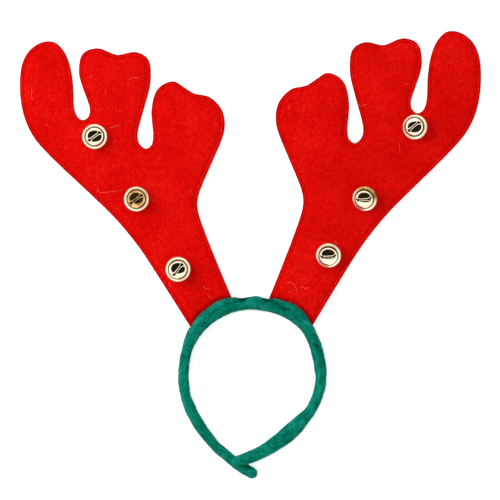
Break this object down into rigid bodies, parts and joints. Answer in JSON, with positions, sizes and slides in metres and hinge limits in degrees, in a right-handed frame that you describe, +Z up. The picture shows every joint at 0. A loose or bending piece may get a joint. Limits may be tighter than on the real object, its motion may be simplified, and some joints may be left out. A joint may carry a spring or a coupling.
{
  "type": "reindeer antler headband",
  "caption": "Plush-covered headband with a pair of padded felt antlers and small round jingle bells sewn to them, worn as a costume.",
  "frame": {"origin": "middle of the overall box in X and Y, on the surface that the headband lies on", "axes": "+X across both antlers to the right of the picture, +Y from the hoop to the antlers' tips, +Z up from the surface it lies on, towards the bells"},
  "size_m": [0.3682, 0.358, 0.0228],
  "materials": {
    "plush_green": "short velvety pile",
    "felt_red": "matte felt with fine matted fibres",
    "bell_metal": "polished pale gold plating",
    "pea_steel": "plain unpolished steel"
  },
  "bodies": {
    "root": {"band": "plush_green", "antler_left_back": "felt_red", "antler_left_front": "felt_red", "antler_right_back": "felt_red", "antler_right_front": "felt_red", "bell_left_outer_cup": "bell_metal", "bell_left_outer_dome": "bell_metal", "bell_left_outer_pea": "pea_steel", "bell_left_middle_cup": "bell_metal", "bell_left_middle_dome": "bell_metal", "bell_left_middle_pea": "pea_steel", "bell_left_inner_cup": "bell_metal", "bell_left_inner_dome": "bell_metal", "bell_left_inner_pea": "pea_steel", "bell_right_outer_cup": "bell_metal", "bell_right_outer_dome": "bell_metal", "bell_right_outer_pea": "pea_steel", "bell_right_middle_cup": "bell_metal", "bell_right_middle_dome": "bell_metal", "bell_right_middle_pea": "pea_steel", "bell_right_inner_cup": "bell_metal", "bell_right_inner_dome": "bell_metal", "bell_right_inner_pea": "pea_steel"}
  },
  "joints": []
}
